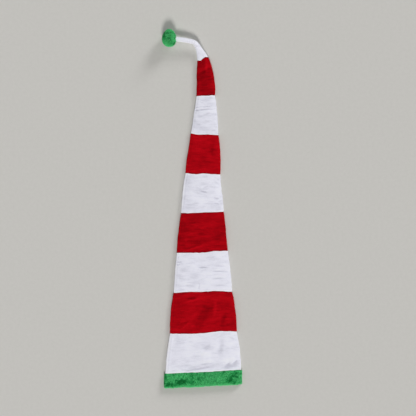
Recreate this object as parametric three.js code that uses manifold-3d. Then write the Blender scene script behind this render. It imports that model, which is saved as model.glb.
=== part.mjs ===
// A long striped plush hat lying flat: a furry brim, eight tapered bands, a bent tip and a pompom.
// Millimetres, +Z up. The floor is z = 0, the open edge faces -Y and the tip lies towards +Y.

import * as THREE from "three";
import { mergeVertices } from "three/addons/utils/BufferGeometryUtils.js";
import Module from "manifold-3d";

// Driving dimensions
const WALL = 2.5; // plush cloth with its short pile
const SEAM_GAP = 0.4; // clearance between two pieces that are sewn together
const BAND_CROWN = 18; // height of a band midway between its seams
const SEAM_CROWN = 13; // height where a seam draws the cloth down
const FOLD_RADIUS = 4.5; // of the side folds of the flattened bands
const CREASE_BREADTH = 13; // half breadth of a crease in the upper cloth
const CROWN_POWER = 3; // how square the crowned top is across a band
const PUFF_POWER = 0.6; // how soon a band puffs up beside its seams

// Brim
const BRIM_CROWN = 20; // height over the fur
const BRIM_RADIUS = 8; // of the brim's rounded sides
const LOCK_HEIGHT = 2.2; // how far the locks of fur stand up
const LOCK_LEAN = 2.5; // how far their ends lie towards the open edge
const LOCK_LEAST = 0.5; // the lowest lock as a share of the highest
const LIP_INSET = 2; // rounding of the brim's two ends
const MOUTH_RING = { halfWidth: 138, radius: 5, floor: 4, crown: 14.5 }; // its inside at the open edge
const SEWN_RING = { halfWidth: 135.5, radius: 3.5, floor: 3, crown: 11 }; // its inside at the seam

// Pompom
const POMPOM_RADII = { x: 27, y: 35, z: 33 }; // to the ends of its locks
const POMPOM_CENTRE = { x: -124.5, y: 1278, z: 30 };
const POMPOM_LOCKS = 84;
const POMPOM_LOCK_SIDES = 4;
const POMPOM_LOCK_LENGTH = 4.5;
const POMPOM_LOCK_RADIUS = 7;
const POMPOM_LOCK_LEAST = 0.7; // the shortest lock as a share of the longest
const POMPOM_LOCK_ROOT = 3; // how deep a lock starts inside the head
const POMPOM_HEAD_DETAIL = 2; // splits of each edge of the head's first twenty faces
const SEAT_COSINE = 0.9; // no lock grows closer to the tip's direction than this

// Steps round each kind of ring and along each kind of piece
const BAND_STEPS = { under: 6, side: 4, over: 14 };
const BRIM_STEPS = { under: 14, side: 6, over: 40 };
const TIP_STEPS = { under: 3, side: 4, over: 5 };
const BAND_ROWS = 8;
const BRIM_ROWS = 8;
const TIP_ROWS = 17;

// Ends of the tip as shares of its length
const TIP_START = 0.0018; // leaves the seam gap to the last band
const TIP_HOLLOW_END = 0.96; // where the hollow ends inside the pompom

// One row for each seam, from the open edge to the tip: its middle, how far it is turned anticlockwise in
// degrees, the flat width there, and how far it runs ahead of a straight line at its left quarter, middle and
// right quarter.
const SEAMS = [
  { x: 0, y: 0, turn: 2.9, width: 290, left: 0, middle: 0, right: 0 },
  { x: 0, y: 54, turn: 2.8, width: 279, left: 0, middle: 0, right: 0 },
  { x: 0.5, y: 198, turn: 2, width: 246, left: -2, middle: -2, right: 3 },
  { x: -1.5, y: 345.5, turn: 1.1, width: 215, left: 3, middle: 2.5, right: 4 },
  { x: -3.5, y: 494.5, turn: 2.1, width: 188, left: -1.5, middle: -3, right: 1 },
  { x: -3, y: 639, turn: 2, width: 157, left: -1, middle: 0, right: -1 },
  { x: -1.5, y: 781, turn: -2.6, width: 128, left: -3, middle: 0.5, right: 0.5 },
  { x: 5, y: 926, turn: -3.3, width: 101.5, left: -3, middle: -1, right: 0 },
  { x: 9, y: 1067.5, turn: 1.8, width: 68.5, left: 0, middle: 0.5, right: 0.5 },
  { x: -1.5, y: 1203, turn: 19, width: 42.5, left: 0, middle: 0, right: 0 },
];

// One row for each band, from the brim to the tip: how far its two sides bulge out between its seams.
const BULGES = [
  { left: 1.5, right: 3 },
  { left: 3.5, right: 4 },
  { left: 0, right: 3 },
  { left: 1, right: -0.5 },
  { left: 1.5, right: 0.5 },
  { left: 0.5, right: 2 },
  { left: -1.5, right: 2 },
  { left: 0, right: 7 },
];

// One row for each section of the tip, from the last seam into the pompom: its middle, the height of its
// underside, its turn in degrees, its width and height, and the radius of its sides.
const TIP_SECTIONS = [
  { x: -1.5, y: 1203, lift: 0, turn: 19, width: 42.5, height: SEAM_CROWN, radius: FOLD_RADIUS },
  { x: -7, y: 1216, lift: 0.2, turn: 19, width: 35.5, height: 14.5, radius: 5 },
  { x: -12.5, y: 1228.5, lift: 1, turn: 21, width: 29, height: 15, radius: 5.5 },
  { x: -18.5, y: 1239, lift: 2.5, turn: 28, width: 23.5, height: 15.5, radius: 6.3 },
  { x: -25, y: 1248.5, lift: 5, turn: 40, width: 19.5, height: 16, radius: 7 },
  { x: -34, y: 1259, lift: 9, turn: 58, width: 17.5, height: 16.5, radius: 7.5 },
  { x: -46, y: 1267, lift: 13, turn: 75, width: 17, height: 16.5, radius: 7.5 },
  { x: -62, y: 1271, lift: 17, turn: 84, width: 17, height: 17, radius: 7.8 },
  { x: -82, y: 1272.5, lift: 20, turn: 88, width: 17.5, height: 17, radius: 8 },
  { x: -111, y: 1273.5, lift: 22, turn: 89, width: 17.5, height: 17, radius: 8 },
];

// One row for each main crease in the upper cloth: its band, its middle as a share across (-1 to 1) and along
// (0 to 1) that band, its slant in degrees, its length and its depth.
const CREASES = [
  { band: 1, across: 0.78, along: 0.2, slant: 32, length: 60, depth: 4 },
  { band: 1, across: -0.05, along: 0.12, slant: 12, length: 80, depth: 3.5 },
  { band: 2, across: 0.05, along: 0.4, slant: 68, length: 110, depth: 3.5 },
  { band: 2, across: -0.4, along: 0.82, slant: 0, length: 60, depth: 3 },
  { band: 3, across: -0.25, along: 0.65, slant: 3, length: 80, depth: 3 },
  { band: 3, across: 0.75, along: 0.55, slant: -10, length: 50, depth: 3.5 },
  { band: 4, across: -0.35, along: 0.14, slant: 15, length: 60, depth: 3.5 },
  { band: 4, across: -0.25, along: 0.68, slant: 0, length: 80, depth: 3 },
  { band: 5, across: 0.75, along: 0.38, slant: 60, length: 40, depth: 3.5 },
  { band: 6, across: 0.7, along: 0.6, slant: 85, length: 50, depth: 3.5 },
  { band: 6, across: -0.6, along: 0.1, slant: 15, length: 40, depth: 3 },
  { band: 7, across: 0.4, along: 0.66, slant: 5, length: 45, depth: 3.5 },
  { band: 7, across: 0.5, along: 0.15, slant: 0, length: 35, depth: 3 },
  { band: 8, across: -0.1, along: 0.65, slant: 20, length: 40, depth: 3.5 },
];

// Cloth colours
const plush = (color) => new THREE.MeshStandardMaterial({ color, roughness: 0.95, metalness: 0 });
const GREEN = plush("#338f53");
const WHITE = plush("#dadae5");
const RED = plush("#9c0711");

const { clamp, lerp, degToRad } = THREE.MathUtils;
const wasm = await Module();
wasm.setup();

// A fixed unevenness from 0 to 1 for each pair of whole numbers.
function unevenness(i, j) {
  const value = Math.sin(i * 12.99 + j * 78.23) * 43758.5;
  return value - Math.floor(value);
}

// The outline of a flattened tube, as seen from the open edge: along its underside, up its right side, back
// over its crowned top and down its left side. upper is 0 on the underside and 1 on the top.
function flatRing({ halfWidth, radius, floor, crown }, steps) {
  const straight = halfWidth - radius;
  const shoulder = floor + 2 * radius;
  const side = (middle, angle) => ({
    across: middle + radius * Math.cos(angle),
    up: floor + radius * (1 + Math.sin(angle)),
    upper: (1 + Math.sin(angle)) / 2,
  });
  const points = [];
  for (let i = 0; i < steps.under; i += 1) {
    points.push({ across: lerp(-straight, straight, i / steps.under), up: floor, upper: 0 });
  }
  for (let i = 0; i < steps.side; i += 1) {
    points.push(side(straight, Math.PI * (i / steps.side - 0.5)));
  }
  for (let i = 0; i < steps.over; i += 1) {
    const share = lerp(1, -1, i / steps.over);
    const rise = 1 - Math.abs(share) ** CROWN_POWER;
    points.push({ across: straight * share, up: lerp(shoulder, crown, rise), upper: 1 });
  }
  for (let i = 0; i < steps.side; i += 1) {
    points.push(side(-straight, Math.PI * (i / steps.side + 0.5)));
  }
  return points;
}

// Stands a ring of points upright at a station, across the hat's direction there.
function placeRing({ x, y, turn, lift = 0 }, points) {
  const cos = Math.cos(degToRad(turn));
  const sin = Math.sin(degToRad(turn));
  return points.map(({ across, along = 0, up }) => new THREE.Vector3(
    x + cos * across - sin * along,
    y + sin * across + cos * along,
    lift + up,
  ));
}

// A closed skin over rings of equal count: the outer rings in order, then the inner ones in the same order.
// A closed end is capped inside and outside, and with no inner rings the result is solid.
function tubeGeometry(outer, inner, closedEnd) {
  const count = outer[0].length;
  const rings = [...outer, ...inner];
  const vertices = rings.flat();
  const triangles = [];
  const at = (ring, i) => ring * count + (i % count);
  const quad = (a, b, c, d) => triangles.push(a, b, c, a, c, d);
  const cap = (ring, facesAhead) => {
    const middle = new THREE.Vector3();
    rings[ring].forEach((point) => middle.addScaledVector(point, 1 / count));
    const hub = vertices.push(middle) - 1;
    for (let i = 0; i < count; i += 1) {
      const pair = [at(ring, i), at(ring, i + 1)];
      triangles.push(hub, ...(facesAhead ? pair.reverse() : pair));
    }
  };
  const lastOuter = outer.length - 1;
  const firstInner = outer.length;
  const lastInner = rings.length - 1;
  for (let i = 0; i < count; i += 1) {
    for (let ring = 0; ring < lastOuter; ring += 1) {
      quad(at(ring, i), at(ring + 1, i), at(ring + 1, i + 1), at(ring, i + 1));
    }
    for (let ring = firstInner; ring < lastInner; ring += 1) {
      quad(at(ring, i), at(ring, i + 1), at(ring + 1, i + 1), at(ring + 1, i));
    }
    if (inner.length > 0) {
      quad(at(0, i), at(0, i + 1), at(firstInner, i + 1), at(firstInner, i));
    }
    if (!closedEnd) {
      quad(at(lastOuter, i), at(lastInner, i), at(lastInner, i + 1), at(lastOuter, i + 1));
    }
  }
  if (closedEnd) {
    cap(lastOuter, true);
  }
  if (closedEnd && inner.length > 0) {
    cap(lastInner, false);
  }
  if (inner.length === 0) {
    cap(0, false);
  }
  const positions = vertices.flatMap((vertex) => vertex.toArray());
  const geometry = new THREE.BufferGeometry();
  geometry.setAttribute("position", new THREE.Float32BufferAttribute(positions, 3));
  geometry.setIndex(triangles);
  return geometry;
}

// A boolean solid from a closed geometry, and a geometry from a boolean solid.
function solidFrom(geometry) {
  const bare = geometry.clone();
  bare.deleteAttribute("normal");
  bare.deleteAttribute("uv");
  const merged = mergeVertices(bare);
  const vertProperties = new Float32Array(merged.attributes.position.array);
  const triVerts = new Uint32Array(merged.index.array);
  return new wasm.Manifold(new wasm.Mesh({ numProp: 3, vertProperties, triVerts }));
}

function geometryFrom(solid) {
  const { vertProperties, triVerts } = solid.getMesh();
  const geometry = new THREE.BufferGeometry();
  geometry.setAttribute("position", new THREE.BufferAttribute(vertProperties, 3));
  geometry.setIndex(new THREE.BufferAttribute(triVerts, 1));
  return geometry;
}

// The hat's middle line through its seams; the third coordinate carries the turn.
const middleLine = new THREE.CatmullRomCurve3(
  SEAMS.map(({ x, y, turn }) => new THREE.Vector3(x, y, turn)),
);

function station(seam, share) {
  const { x, y, z } = middleLine.getPoint((seam + share) / (SEAMS.length - 1));
  return { x, y, turn: z };
}

// Each seam's wave from the left side of the hat to the right.
const seamWaves = SEAMS.map(({ left, middle, right }) => {
  const waves = [0, left, middle, right, 0];
  return new THREE.SplineCurve(waves.map((wave, quarter) => new THREE.Vector2(quarter, wave)));
});

// How far a point of the cloth moves along the hat because of its two seams; side runs from -1 to 1.
function seamShift(seam, share, side) {
  const place = clamp((side + 1) / 2, 0, 1);
  const wave = (index) => seamWaves[index].getPoint(place).y;
  return wave(seam) * (1 - share) ** 3 + wave(seam + 1) * share ** 3;
}

// Depth of the creases of one band, at a place across and along it in millimetres.
function creaseDepth(band, halfWidth, length, across, along) {
  let depth = 0;
  for (const crease of CREASES.filter((row) => row.band === band)) {
    const dx = across - crease.across * halfWidth;
    const dy = along - crease.along * length;
    const slant = degToRad(crease.slant);
    const beside = (dy * Math.cos(slant) - dx * Math.sin(slant)) / CREASE_BREADTH;
    const towardsEnd = (dx * Math.cos(slant) + dy * Math.sin(slant)) / (crease.length / 2);
    depth += crease.depth * Math.exp(-(beside ** 2) - towardsEnd ** 4);
  }
  return depth;
}

// One striped band: a flattened tube of cloth that is drawn in at its two seams.
function bandGeometry(band) {
  const length = SEAMS[band + 1].y - SEAMS[band].y;
  const bulge = BULGES[band - 1];
  const margin = SEAM_GAP / 2 / length;
  const outer = [];
  const inner = [];
  for (let row = 0; row < BAND_ROWS; row += 1) {
    const evenShare = row / (BAND_ROWS - 1);
    const share = lerp(margin, 1 - margin, (1 - Math.cos(Math.PI * evenShare)) / 2);
    const place = station(band, share);
    const puff = Math.sin(Math.PI * share) ** PUFF_POWER;
    const halfWidth = lerp(SEAMS[band].width, SEAMS[band + 1].width, share) / 2;
    const crown = lerp(SEAM_CROWN, BAND_CROWN, puff);
    const swell = 4 * share * (1 - share) / halfWidth;
    const bend = (point) => ({
      across: point.across * (1 + swell * (point.across < 0 ? bulge.left : bulge.right)),
      along: seamShift(band, share, point.across / halfWidth),
      up: point.up - point.upper * puff * creaseDepth(band, halfWidth, length, point.across, share * length),
    });
    const outside = { halfWidth, radius: FOLD_RADIUS, floor: 0, crown };
    const inside = {
      halfWidth: halfWidth - WALL,
      radius: FOLD_RADIUS - WALL,
      floor: WALL,
      crown: crown - WALL,
    };
    outer.push(placeRing(place, flatRing(outside, BAND_STEPS).map(bend)));
    inner.push(placeRing(place, flatRing(inside, BAND_STEPS).map(bend)));
  }
  return tubeGeometry(outer, inner, false);
}

// The brim: a flattened band of fur whose outside rises in alternate locks that lie towards the open edge.
function brimGeometry() {
  const outer = [];
  const inner = [];
  const lastRow = BRIM_ROWS - 1;
  const endShare = 1 - SEAM_GAP / 2 / SEAMS[1].y;
  for (let row = 0; row < BRIM_ROWS; row += 1) {
    const share = endShare * row / lastRow;
    const place = station(0, share);
    const isEnd = row === 0 || row === lastRow;
    const inset = isEnd ? LIP_INSET : 0;
    const halfWidth = SEAMS[0].width / 2 - inset;
    const outside = { halfWidth, radius: BRIM_RADIUS - inset, floor: 0, crown: BRIM_CROWN - inset };
    const inside = {};
    for (const key of Object.keys(MOUTH_RING)) {
      inside[key] = lerp(MOUTH_RING[key], SEWN_RING[key], share);
    }
    const shift = (point) => ({ ...point, along: seamShift(0, share, point.across / halfWidth) });
    const lock = (point, column) => {
      const isLock = !isEnd && (column + row) % 2 === 0;
      const raised = isLock ? LOCK_HEIGHT * point.upper * lerp(LOCK_LEAST, 1, unevenness(column, row)) : 0;
      return {
        across: point.across * (1 + raised * (1 - point.upper) / halfWidth),
        along: point.along - LOCK_LEAN * raised / LOCK_HEIGHT,
        up: point.up + raised * point.upper,
      };
    };
    outer.push(placeRing(place, flatRing(outside, BRIM_STEPS).map(shift).map(lock)));
    if (isEnd) {
      inner.push(placeRing(place, flatRing(inside, BRIM_STEPS).map(shift)));
    }
  }
  return tubeGeometry(outer, inner, false);
}

// The tip's middle line on its underside, and its turn, width and height along that line.
const tipLine = new THREE.CatmullRomCurve3(
  TIP_SECTIONS.map(({ x, y, lift }) => new THREE.Vector3(x, y, lift)),
);
const tipForm = new THREE.CatmullRomCurve3(
  TIP_SECTIONS.map(({ turn, width, height }) => new THREE.Vector3(turn, width, height)),
);

// Rings of the tip between two shares of its length, grown by a margin that is negative for the inside.
function tipRings(margin, startShare, endShare) {
  const rings = [];
  for (let row = 0; row < TIP_ROWS; row += 1) {
    const share = lerp(startShare, endShare, row / (TIP_ROWS - 1));
    const place = tipLine.getPoint(share);
    const form = tipForm.getPoint(share);
    const section = share * (TIP_SECTIONS.length - 1);
    const before = TIP_SECTIONS[Math.floor(section)];
    const after = TIP_SECTIONS[Math.ceil(section)];
    const outline = {
      halfWidth: form.y / 2 + margin,
      radius: lerp(before.radius, after.radius, section - Math.floor(section)) + margin,
      floor: -margin,
      crown: form.z + margin,
    };
    const stand = { x: place.x, y: place.y, turn: form.x, lift: place.z };
    rings.push(placeRing(stand, flatRing(outline, TIP_STEPS)));
  }
  return rings;
}

function tipGeometry() {
  return tubeGeometry(tipRings(0, TIP_START, 1), tipRings(-WALL, TIP_START, TIP_HOLLOW_END), true);
}

// The pompom: a head with locks all round except where the tip goes in, pressed flat on the floor.
function pompomGeometry() {
  const radii = new THREE.Vector3(POMPOM_RADII.x, POMPOM_RADII.y, POMPOM_RADII.z);
  const headRadii = radii.clone().subScalar(POMPOM_LOCK_LENGTH);
  const headGeometry = new THREE.IcosahedronGeometry(1, POMPOM_HEAD_DETAIL);
  headGeometry.scale(headRadii.x, headRadii.y, headRadii.z);
  const goldenAngle = Math.PI * (3 - Math.sqrt(5));
  const upright = new THREE.Vector3(0, 1, 0);
  const locks = [];
  for (let i = 0; i < POMPOM_LOCKS; i += 1) {
    const height = 1 - 2 * (i + 0.5) / POMPOM_LOCKS;
    const ring = Math.sqrt(1 - height ** 2);
    const angle = goldenAngle * i;
    const direction = new THREE.Vector3(ring * Math.cos(angle), ring * Math.sin(angle), height);
    if (direction.x > SEAT_COSINE) {
      continue;
    }
    const end = direction.clone().multiply(radii);
    const length = POMPOM_LOCK_LENGTH * lerp(POMPOM_LOCK_LEAST, 1, unevenness(i, 1)) + POMPOM_LOCK_ROOT;
    const lock = new THREE.ConeGeometry(POMPOM_LOCK_RADIUS, length, POMPOM_LOCK_SIDES);
    const outward = end.clone().normalize();
    lock.applyQuaternion(new THREE.Quaternion().setFromUnitVectors(upright, outward));
    const middle = direction.clone().multiply(headRadii);
    middle.addScaledVector(outward, length / 2 - POMPOM_LOCK_ROOT);
    lock.translate(middle.x, middle.y, middle.z);
    locks.push(solidFrom(lock));
  }
  const floor = new THREE.BoxGeometry(4 * radii.x, 4 * radii.y, POMPOM_CENTRE.z);
  floor.translate(0, 0, -1.5 * POMPOM_CENTRE.z);
  const seat = tubeGeometry(tipRings(SEAM_GAP, 0, 1), [], true);
  seat.translate(-POMPOM_CENTRE.x - SEAM_GAP, -POMPOM_CENTRE.y, -POMPOM_CENTRE.z);
  let pompom = solidFrom(headGeometry);
  for (const lock of locks) {
    pompom = pompom.add(lock);
  }
  return geometryFrom(pompom.subtract(solidFrom(floor)).subtract(solidFrom(seat)));
}

// Assembly
const hat = new THREE.Group();

function addPiece(name, geometry, material) {
  const mesh = new THREE.Mesh(geometry, material);
  mesh.name = name;
  hat.add(mesh);
  return mesh;
}

addPiece("brim", brimGeometry(), GREEN);
for (let band = 1; band < SEAMS.length - 1; band += 1) {
  const isWhite = band % 2 === 1;
  addPiece(`stripe_${band}_${isWhite ? "white" : "red"}`, bandGeometry(band), isWhite ? WHITE : RED);
}
addPiece("tip_white", tipGeometry(), WHITE);
addPiece("pompom", pompomGeometry(), GREEN).position.copy(POMPOM_CENTRE);

// The origin is on the floor, under the middle of the hat's box.
const box = new THREE.Box3().setFromObject(hat, true);
hat.position.set(-(box.min.x + box.max.x) / 2, -(box.min.y + box.max.y) / 2, -box.min.z);

export default hat;
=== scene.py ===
import math
from collections import namedtuple

import bpy
import numpy as np
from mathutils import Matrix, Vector
from mathutils.kdtree import KDTree


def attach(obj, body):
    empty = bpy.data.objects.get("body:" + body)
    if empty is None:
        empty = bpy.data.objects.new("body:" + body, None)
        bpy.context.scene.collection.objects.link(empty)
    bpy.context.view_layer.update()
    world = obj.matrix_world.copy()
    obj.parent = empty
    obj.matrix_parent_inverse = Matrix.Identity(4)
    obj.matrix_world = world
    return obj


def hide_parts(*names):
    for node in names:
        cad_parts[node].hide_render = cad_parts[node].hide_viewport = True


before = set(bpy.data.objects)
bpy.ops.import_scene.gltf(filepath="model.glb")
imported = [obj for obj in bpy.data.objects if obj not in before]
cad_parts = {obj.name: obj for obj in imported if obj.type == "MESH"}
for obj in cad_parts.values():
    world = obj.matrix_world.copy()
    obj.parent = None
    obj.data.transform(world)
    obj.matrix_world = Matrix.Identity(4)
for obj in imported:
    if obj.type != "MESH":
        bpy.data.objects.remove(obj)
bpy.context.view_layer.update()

# The hat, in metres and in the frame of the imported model
OPEN_EDGE = np.array([0.00289, -0.65223])  # middle of its open edge
CLOTH = 0.0025  # plush with its short pile
FOLD_RADIUS = 0.0060  # of the flattened bands' side folds
FOLD_POWER = 0.65  # 1 is a round fold, and less a fuller one
CROWN_RISE = 0.0055  # how far the middle of a wide band stands over its sides
CROWN_SLOPE = 0.035  # the same for a narrow band, as a share of its width
CROWN_POWER = 4  # more makes the crown flatter in its middle
SEAM_RISE = 0.65  # the share of that rise left beside a seam
SEAM_GAP = 0.0003  # between two bands that are sewn together
SEAM_HOLD = 0.008  # how far from a seam its stitches smooth the cloth
GATHER_REACH = 0.010  # how far from a seam its gathers run
RIDGE_INSET = 0.010  # from the left side to the ridge over the hat's long seam
RIDGE_HEIGHT = 0.0006
RIDGE_BREADTH = 0.003

# How cloth turns down into a seam: its length and how deep it goes. White lies over red.
Roll = namedtuple("Roll", "length depth")
WHITE_ROLL = Roll(0.0025, 0.0012)
RED_ROLL = Roll(0.0040, 0.0026)

# One row for each seam, from the open edge to the tip: its middle measured from the open edge's, its
# turn in degrees, the hat's flat width, and how far the seam runs ahead of a straight line at its left
# quarter, middle and right quarter.
Seam = namedtuple("Seam", "x y turn width left middle right")
SEAMS = [Seam(*row) for row in [
    (0.0000, 0.0000, 2.9, 0.2900, 0.0000, 0.0000, 0.0000),
    (0.0000, 0.0540, 2.8, 0.2790, 0.0000, -0.0010, 0.0000),
    (0.0005, 0.1980, 2.0, 0.2460, -0.0020, -0.0020, 0.0030),
    (-0.0015, 0.3455, 1.1, 0.2150, 0.0030, 0.0025, 0.0040),
    (-0.0035, 0.4945, 2.1, 0.1880, -0.0015, -0.0030, 0.0010),
    (-0.0030, 0.6390, 2.0, 0.1570, -0.0010, 0.0000, -0.0010),
    (-0.0015, 0.7810, -2.6, 0.1280, -0.0030, 0.0005, 0.0005),
    (0.0050, 0.9260, -3.3, 0.1015, -0.0030, -0.0010, 0.0000),
    (0.0090, 1.0675, 1.8, 0.0685, 0.0000, 0.0005, 0.0005),
    (-0.0015, 1.2030, 19.0, 0.0425, -0.0035, 0.0000, 0.0035),
]]

# One row for each band: how far its left and right sides stand out of a straight line between its
# seams, and how much lighter or darker than the rest its pile lies.
Band = namedtuple("Band", "left right tone")
BANDS = [Band(*row) for row in [
    (0.0030, 0.0028, 0.00),
    (0.0040, 0.0040, 0.00),
    (0.0014, 0.0026, 0.00),
    (0.0022, 0.0006, -0.06),
    (0.0026, 0.0003, -0.04),
    (0.0011, 0.0050, 0.02),
    (0.0003, 0.0016, -0.05),
    (0.0005, 0.0080, -0.12),
]]

# One row for each section of the tip: its middle, the height of its underside, its turn in degrees, its
# width and height, and the radius of its sides.
Section = namedtuple("Section", "x y lift turn width height radius")
TIP_SECTIONS = [Section(*row) for row in [
    (-0.0015, 1.2030, 0.0000, 19, 0.0425, 0.0134, 0.0061),
    (-0.0060, 1.2160, 0.0006, 20, 0.0355, 0.0146, 0.0068),
    (-0.0113, 1.2285, 0.0022, 23, 0.0290, 0.0152, 0.0073),
    (-0.0163, 1.2395, 0.0052, 27, 0.0238, 0.0156, 0.0077),
    (-0.0230, 1.2520, 0.0105, 34, 0.0200, 0.0160, 0.0080),
    (-0.0290, 1.2592, 0.0140, 54, 0.0184, 0.0164, 0.0082),
    (-0.0380, 1.2640, 0.0165, 73, 0.0174, 0.0164, 0.0082),
    (-0.0570, 1.2682, 0.0190, 80, 0.0170, 0.0166, 0.0083),
    (-0.0820, 1.2718, 0.0208, 82, 0.0174, 0.0170, 0.0085),
    (-0.1110, 1.2756, 0.0220, 83, 0.0174, 0.0170, 0.0085),
]]
TIP_GAP = 0.008  # from its seam to its first ring, in sections
TIP_ROLLED = 0.3  # to the end of its rolled edge, in sections
TIP_CLOSED = 0.3  # from its hollow's end to its own, in sections
TIP_SEAM_GAP = 0.0002
TIP_HOLD = 0.006  # how far the stitches of its seam smooth it
TIP_BEND = 0.062  # from its seam to the middle of its bend
TIP_BEND_REACH = 0.026
WRINKLE_HEIGHT = 0.0011
WRINKLE_PITCH = 0.0014  # for each radian of a wrinkle's wave
WRINKLE_BREADTH = 0.6  # how much a wrinkle moves the tip's side, as a share of its height

# One row for each main crease in the upper cloth: its band, its middle as a share across (-1 to 1) and
# along (0 to 1), its slant in degrees, its length, its depth (a ridge's is below 0) and its half breadth.
Crease = namedtuple("Crease", "band across along slant length depth breadth")
CREASES = [Crease(*row) for row in [
    (1, 0.08, 0.145, 4, 0.120, 0.0018, 0.0085),
    (1, 0.74, 0.120, 12, 0.060, 0.0022, 0.0090),
    (1, 0.65, 0.150, 42, 0.022, 0.0026, 0.0040),
    (1, 0.85, 0.205, 40, 0.020, 0.0022, 0.0038),
    (1, -0.11, 0.084, 8, 0.075, 0.0026, 0.0030),
    (1, -0.78, 0.070, 0, 0.022, 0.0014, 0.0028),
    (1, -0.50, 0.068, -6, 0.030, 0.0013, 0.0026),
    (1, 0.10, 0.210, 5, 0.045, 0.0016, 0.0038),
    (1, 0.075, 0.400, 0, 0.035, -0.0018, 0.0180),
    (1, 0.08, 0.630, 20, 0.030, 0.0014, 0.0050),
    (1, 0.50, 0.600, 80, 0.060, 0.0012, 0.0090),
    (2, -0.39, 0.790, 13, 0.053, -0.0022, 0.0034),
    (2, -0.42, 0.850, 6, 0.035, 0.0014, 0.0028),
    (2, 0.37, 0.580, 80, 0.055, -0.0015, 0.0060),
    (2, -0.02, 0.410, 63, 0.120, 0.0026, 0.0150),
    (2, -0.62, 0.250, 10, 0.025, 0.0014, 0.0030),
    (2, -0.55, 0.190, 35, 0.040, -0.0016, 0.0040),
    (2, 0.62, 0.300, 70, 0.060, 0.0012, 0.0070),
    (3, 0.64, 0.505, -4, 0.050, 0.0024, 0.0022),
    (3, 0.64, 0.640, 0, 0.040, 0.0017, 0.0022),
    (3, 0.60, 0.330, 4, 0.050, 0.0014, 0.0022),
    (3, 0.66, 0.150, 0, 0.045, 0.0013, 0.0022),
    (3, 0.00, 0.620, 0, 0.028, 0.0020, 0.0024),
    (3, -0.14, 0.120, 80, 0.024, 0.0015, 0.0030),
    (3, -0.50, 0.650, 0, 0.028, 0.0012, 0.0030),
    (3, -0.90, 0.770, 0, 0.020, 0.0020, 0.0024),
    (3, -0.92, 0.700, 0, 0.014, 0.0016, 0.0022),
    (4, -0.30, 0.120, 17, 0.062, -0.0024, 0.0034),
    (4, -0.26, 0.060, 14, 0.060, 0.0012, 0.0030),
    (4, 0.00, 0.280, 0, 0.150, 0.0007, 0.0080),
    (4, -0.24, 0.700, -3, 0.055, -0.0016, 0.0032),
    (4, -0.50, 0.340, 0, 0.050, -0.0015, 0.0030),
    (4, 0.10, 0.560, 2, 0.150, 0.0006, 0.0080),
    (5, 0.05, 0.530, -10, 0.024, 0.0021, 0.0026),
    (5, 0.68, 0.360, -10, 0.018, 0.0023, 0.0024),
    (5, 0.66, 0.230, -10, 0.018, 0.0019, 0.0024),
    (5, -0.77, 0.330, -8, 0.025, 0.0011, 0.0030),
    (5, 0.15, 0.650, 20, 0.020, 0.0011, 0.0030),
    (6, -0.62, 0.070, 15, 0.028, -0.0015, 0.0026),
    (6, 0.55, 0.650, 80, 0.045, 0.0014, 0.0090),
    (6, -0.10, 0.300, 0, 0.090, 0.0009, 0.0070),
    (7, 0.15, 0.650, 5, 0.060, 0.0019, 0.0022),
    (7, 0.17, 0.715, 3, 0.050, 0.0013, 0.0020),
    (7, 0.00, 0.510, 25, 0.042, 0.0013, 0.0030),
    (7, 0.65, 0.120, 0, 0.014, 0.0013, 0.0026),
    (7, -0.80, 0.700, -8, 0.016, 0.0015, 0.0024),
    (7, -0.80, 0.620, -8, 0.016, 0.0015, 0.0024),
    (8, 0.00, 0.645, 12, 0.070, 0.0022, 0.0045),
    (8, 0.45, 0.780, 82, 0.060, -0.0022, 0.0060),
    (8, -0.75, 0.500, 90, 0.100, -0.0010, 0.0030),
]]

# The lower ridge on a crease's far side, as shares of the crease's depth and half breadth
LIP_HEIGHT = 0.3
LIP_PLACE = 1.9
LIP_BREADTH = 1.4

# Small creases, drawn at random. A wider band has more of them, and longer ones.
MINOR_SEED = 100
MINOR_COUNT = 14
MINOR_COUNT_PER_METRE = 110
MINOR_SHORTEST = 0.015
MINOR_LONGEST = 0.03
MINOR_LONGEST_PER_METRE = 0.12
MINOR_SLANT = 11  # degrees, as a standard deviation
MINOR_DEPTHS = (0.0002, 0.0007)
MINOR_BREADTHS = (0.0017, 0.0030)

# Brim
BRIM_START = 0.0045  # from the open edge of the fur to the fold in the strip
BRIM_END = 0.0537  # where the strip meets the first band
BRIM_HALF = 0.1405  # half of the strip's flat width, without its fur
BRIM_CROWN = 0.0155
BRIM_RADIUS = 0.0065
BRIM_LIFT = 0.0006  # of its underside, which rests on its fur
BRIM_FOLD = 0.003  # radius of the fold at the open edge
BRIM_CLOTH = 0.002
BRIM_PUFF = 0.0025  # how much higher it is midway
BRIM_TUCK = 0.003  # how far its upper edge is drawn down at the seam
BRIM_TUCK_REACH = 0.010
BRIM_INNER_PUFF = 0.3  # the share of puff and tuck in its inner layer
BRIM_INNER_RADIUS = 0.9  # how much less the radius is inside, as a share of the depth
BRIM_INNER_LIFT = 0.7  # how much higher the underside is inside, as a share of the depth
BRIM_EDGE = 0.004  # breadth of the longer fur along the open edge, which also gets a painted highlight
BRIM_EDGE_LENGTH = 0.25  # how much longer it is, as a share
# painted highlight on the fur along the open edge
PAINTED_BRIM_EDGE_HIGHLIGHT = 0.40
BRIM_DROOP = 0.05  # how far its fur is brushed down
BRIM_TONE = 0.23
STROKE_PACE = 0.4  # how slowly strokes change along their run, against beside it

# Pompom
POMPOM_CENTRE = np.array([-0.1245, 1.278, 0.030])  # from the open edge's middle
POMPOM_RADII = np.array([0.0215, 0.0285, 0.0265])  # of its head, without fur
POMPOM_TAPER = 0.18  # how much narrower its far end is than its middle, as a share
POMPOM_REST = 0.0015  # the flat underside of its head
POMPOM_TONE = 0.40
POMPOM_LEAN = 0.30  # how unevenly its fur is brushed
TIP_PUSH = 1.5  # how strongly the tip pushes the fur outwards round it
TIP_PUSH_REACH = 0.013
POMPOM_LEAN_SEED = 920

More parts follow.
